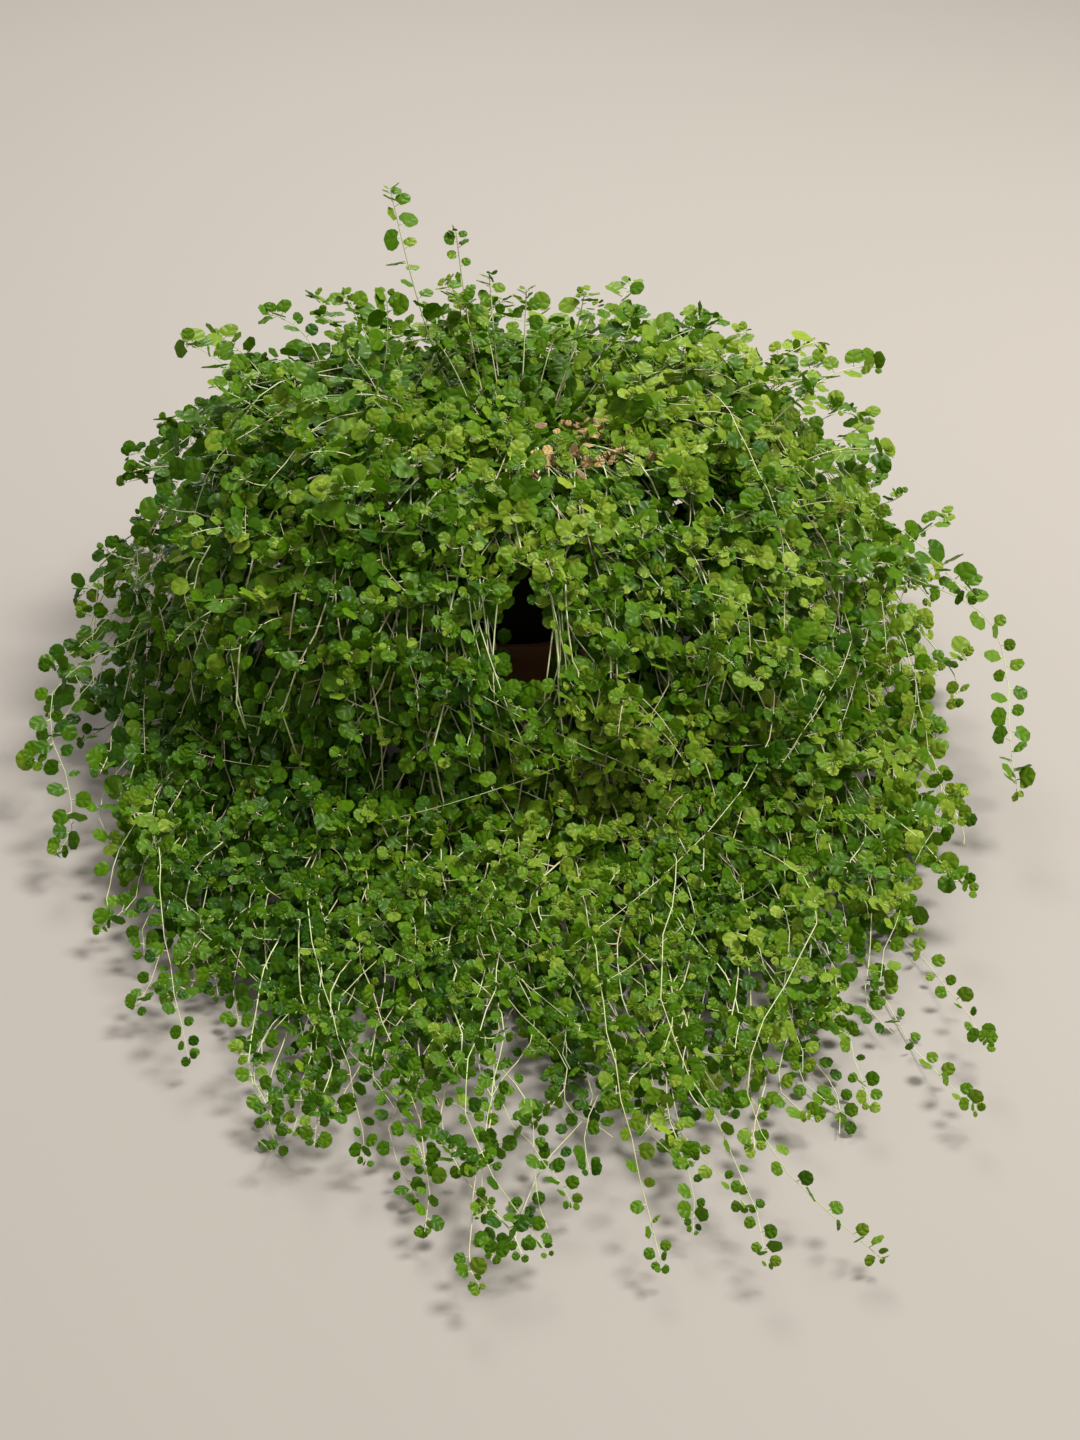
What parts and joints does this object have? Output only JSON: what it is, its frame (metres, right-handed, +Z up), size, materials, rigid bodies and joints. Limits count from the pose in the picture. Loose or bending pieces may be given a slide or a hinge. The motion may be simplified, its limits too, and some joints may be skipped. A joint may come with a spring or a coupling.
{
  "type": "potted trailing vine",
  "caption": "Trailing vine with small round leaves in a black nursery pot on a low clay saucer, its stems arching over the rim and lying out along the surface.",
  "frame": {"origin": "centre of the saucer's flat underside, on the surface that the plant stands on", "axes": "+Z up, -Y towards the front where the stems trail furthest, +X to the right seen from the front"},
  "size_m": [0.4659, 0.6722, 0.2308],
  "materials": {
    "clay": "matte",
    "pot_plastic": "satin",
    "soil": "matte",
    "foliage": "satin"
  },
  "bodies": {
    "root": {"saucer": "clay", "nursery_pot": "pot_plastic", "soil": "soil", "crown": "foliage", "vine_01": "foliage", "vine_02": "foliage", "vine_03": "foliage", "vine_04": "foliage", "vine_05": "foliage", "vine_06": "foliage", "vine_07": "foliage", "vine_08": "foliage", "vine_09": "foliage", "vine_10": "foliage", "vine_11": "foliage", "vine_12": "foliage", "vine_13": "foliage", "vine_14": "foliage", "vine_15": "foliage", "vine_16": "foliage", "vine_17": "foliage", "vine_18": "foliage", "vine_19": "foliage", "vine_20": "foliage", "vine_21": "foliage", "vine_22": "foliage", "vine_23": "foliage", "vine_24": "foliage", "vine_25": "foliage", "vine_26": "foliage", "vine_27": "foliage", "vine_28": "foliage", "vine_29": "foliage", "vine_30": "foliage", "vine_31": "foliage", "vine_32": "foliage", "vine_33": "foliage", "vine_34": "foliage", "vine_35": "foliage", "vine_36": "foliage", "vine_37": "foliage", "vine_38": "foliage", "vine_39": "foliage", "vine_40": "foliage", "vine_41": "foliage", "vine_42": "foliage", "vine_43": "foliage", "vine_44": "foliage", "vine_45": "foliage", "vine_46": "foliage", "vine_47": "foliage", "vine_48": "foliage"}
  },
  "joints": []
}
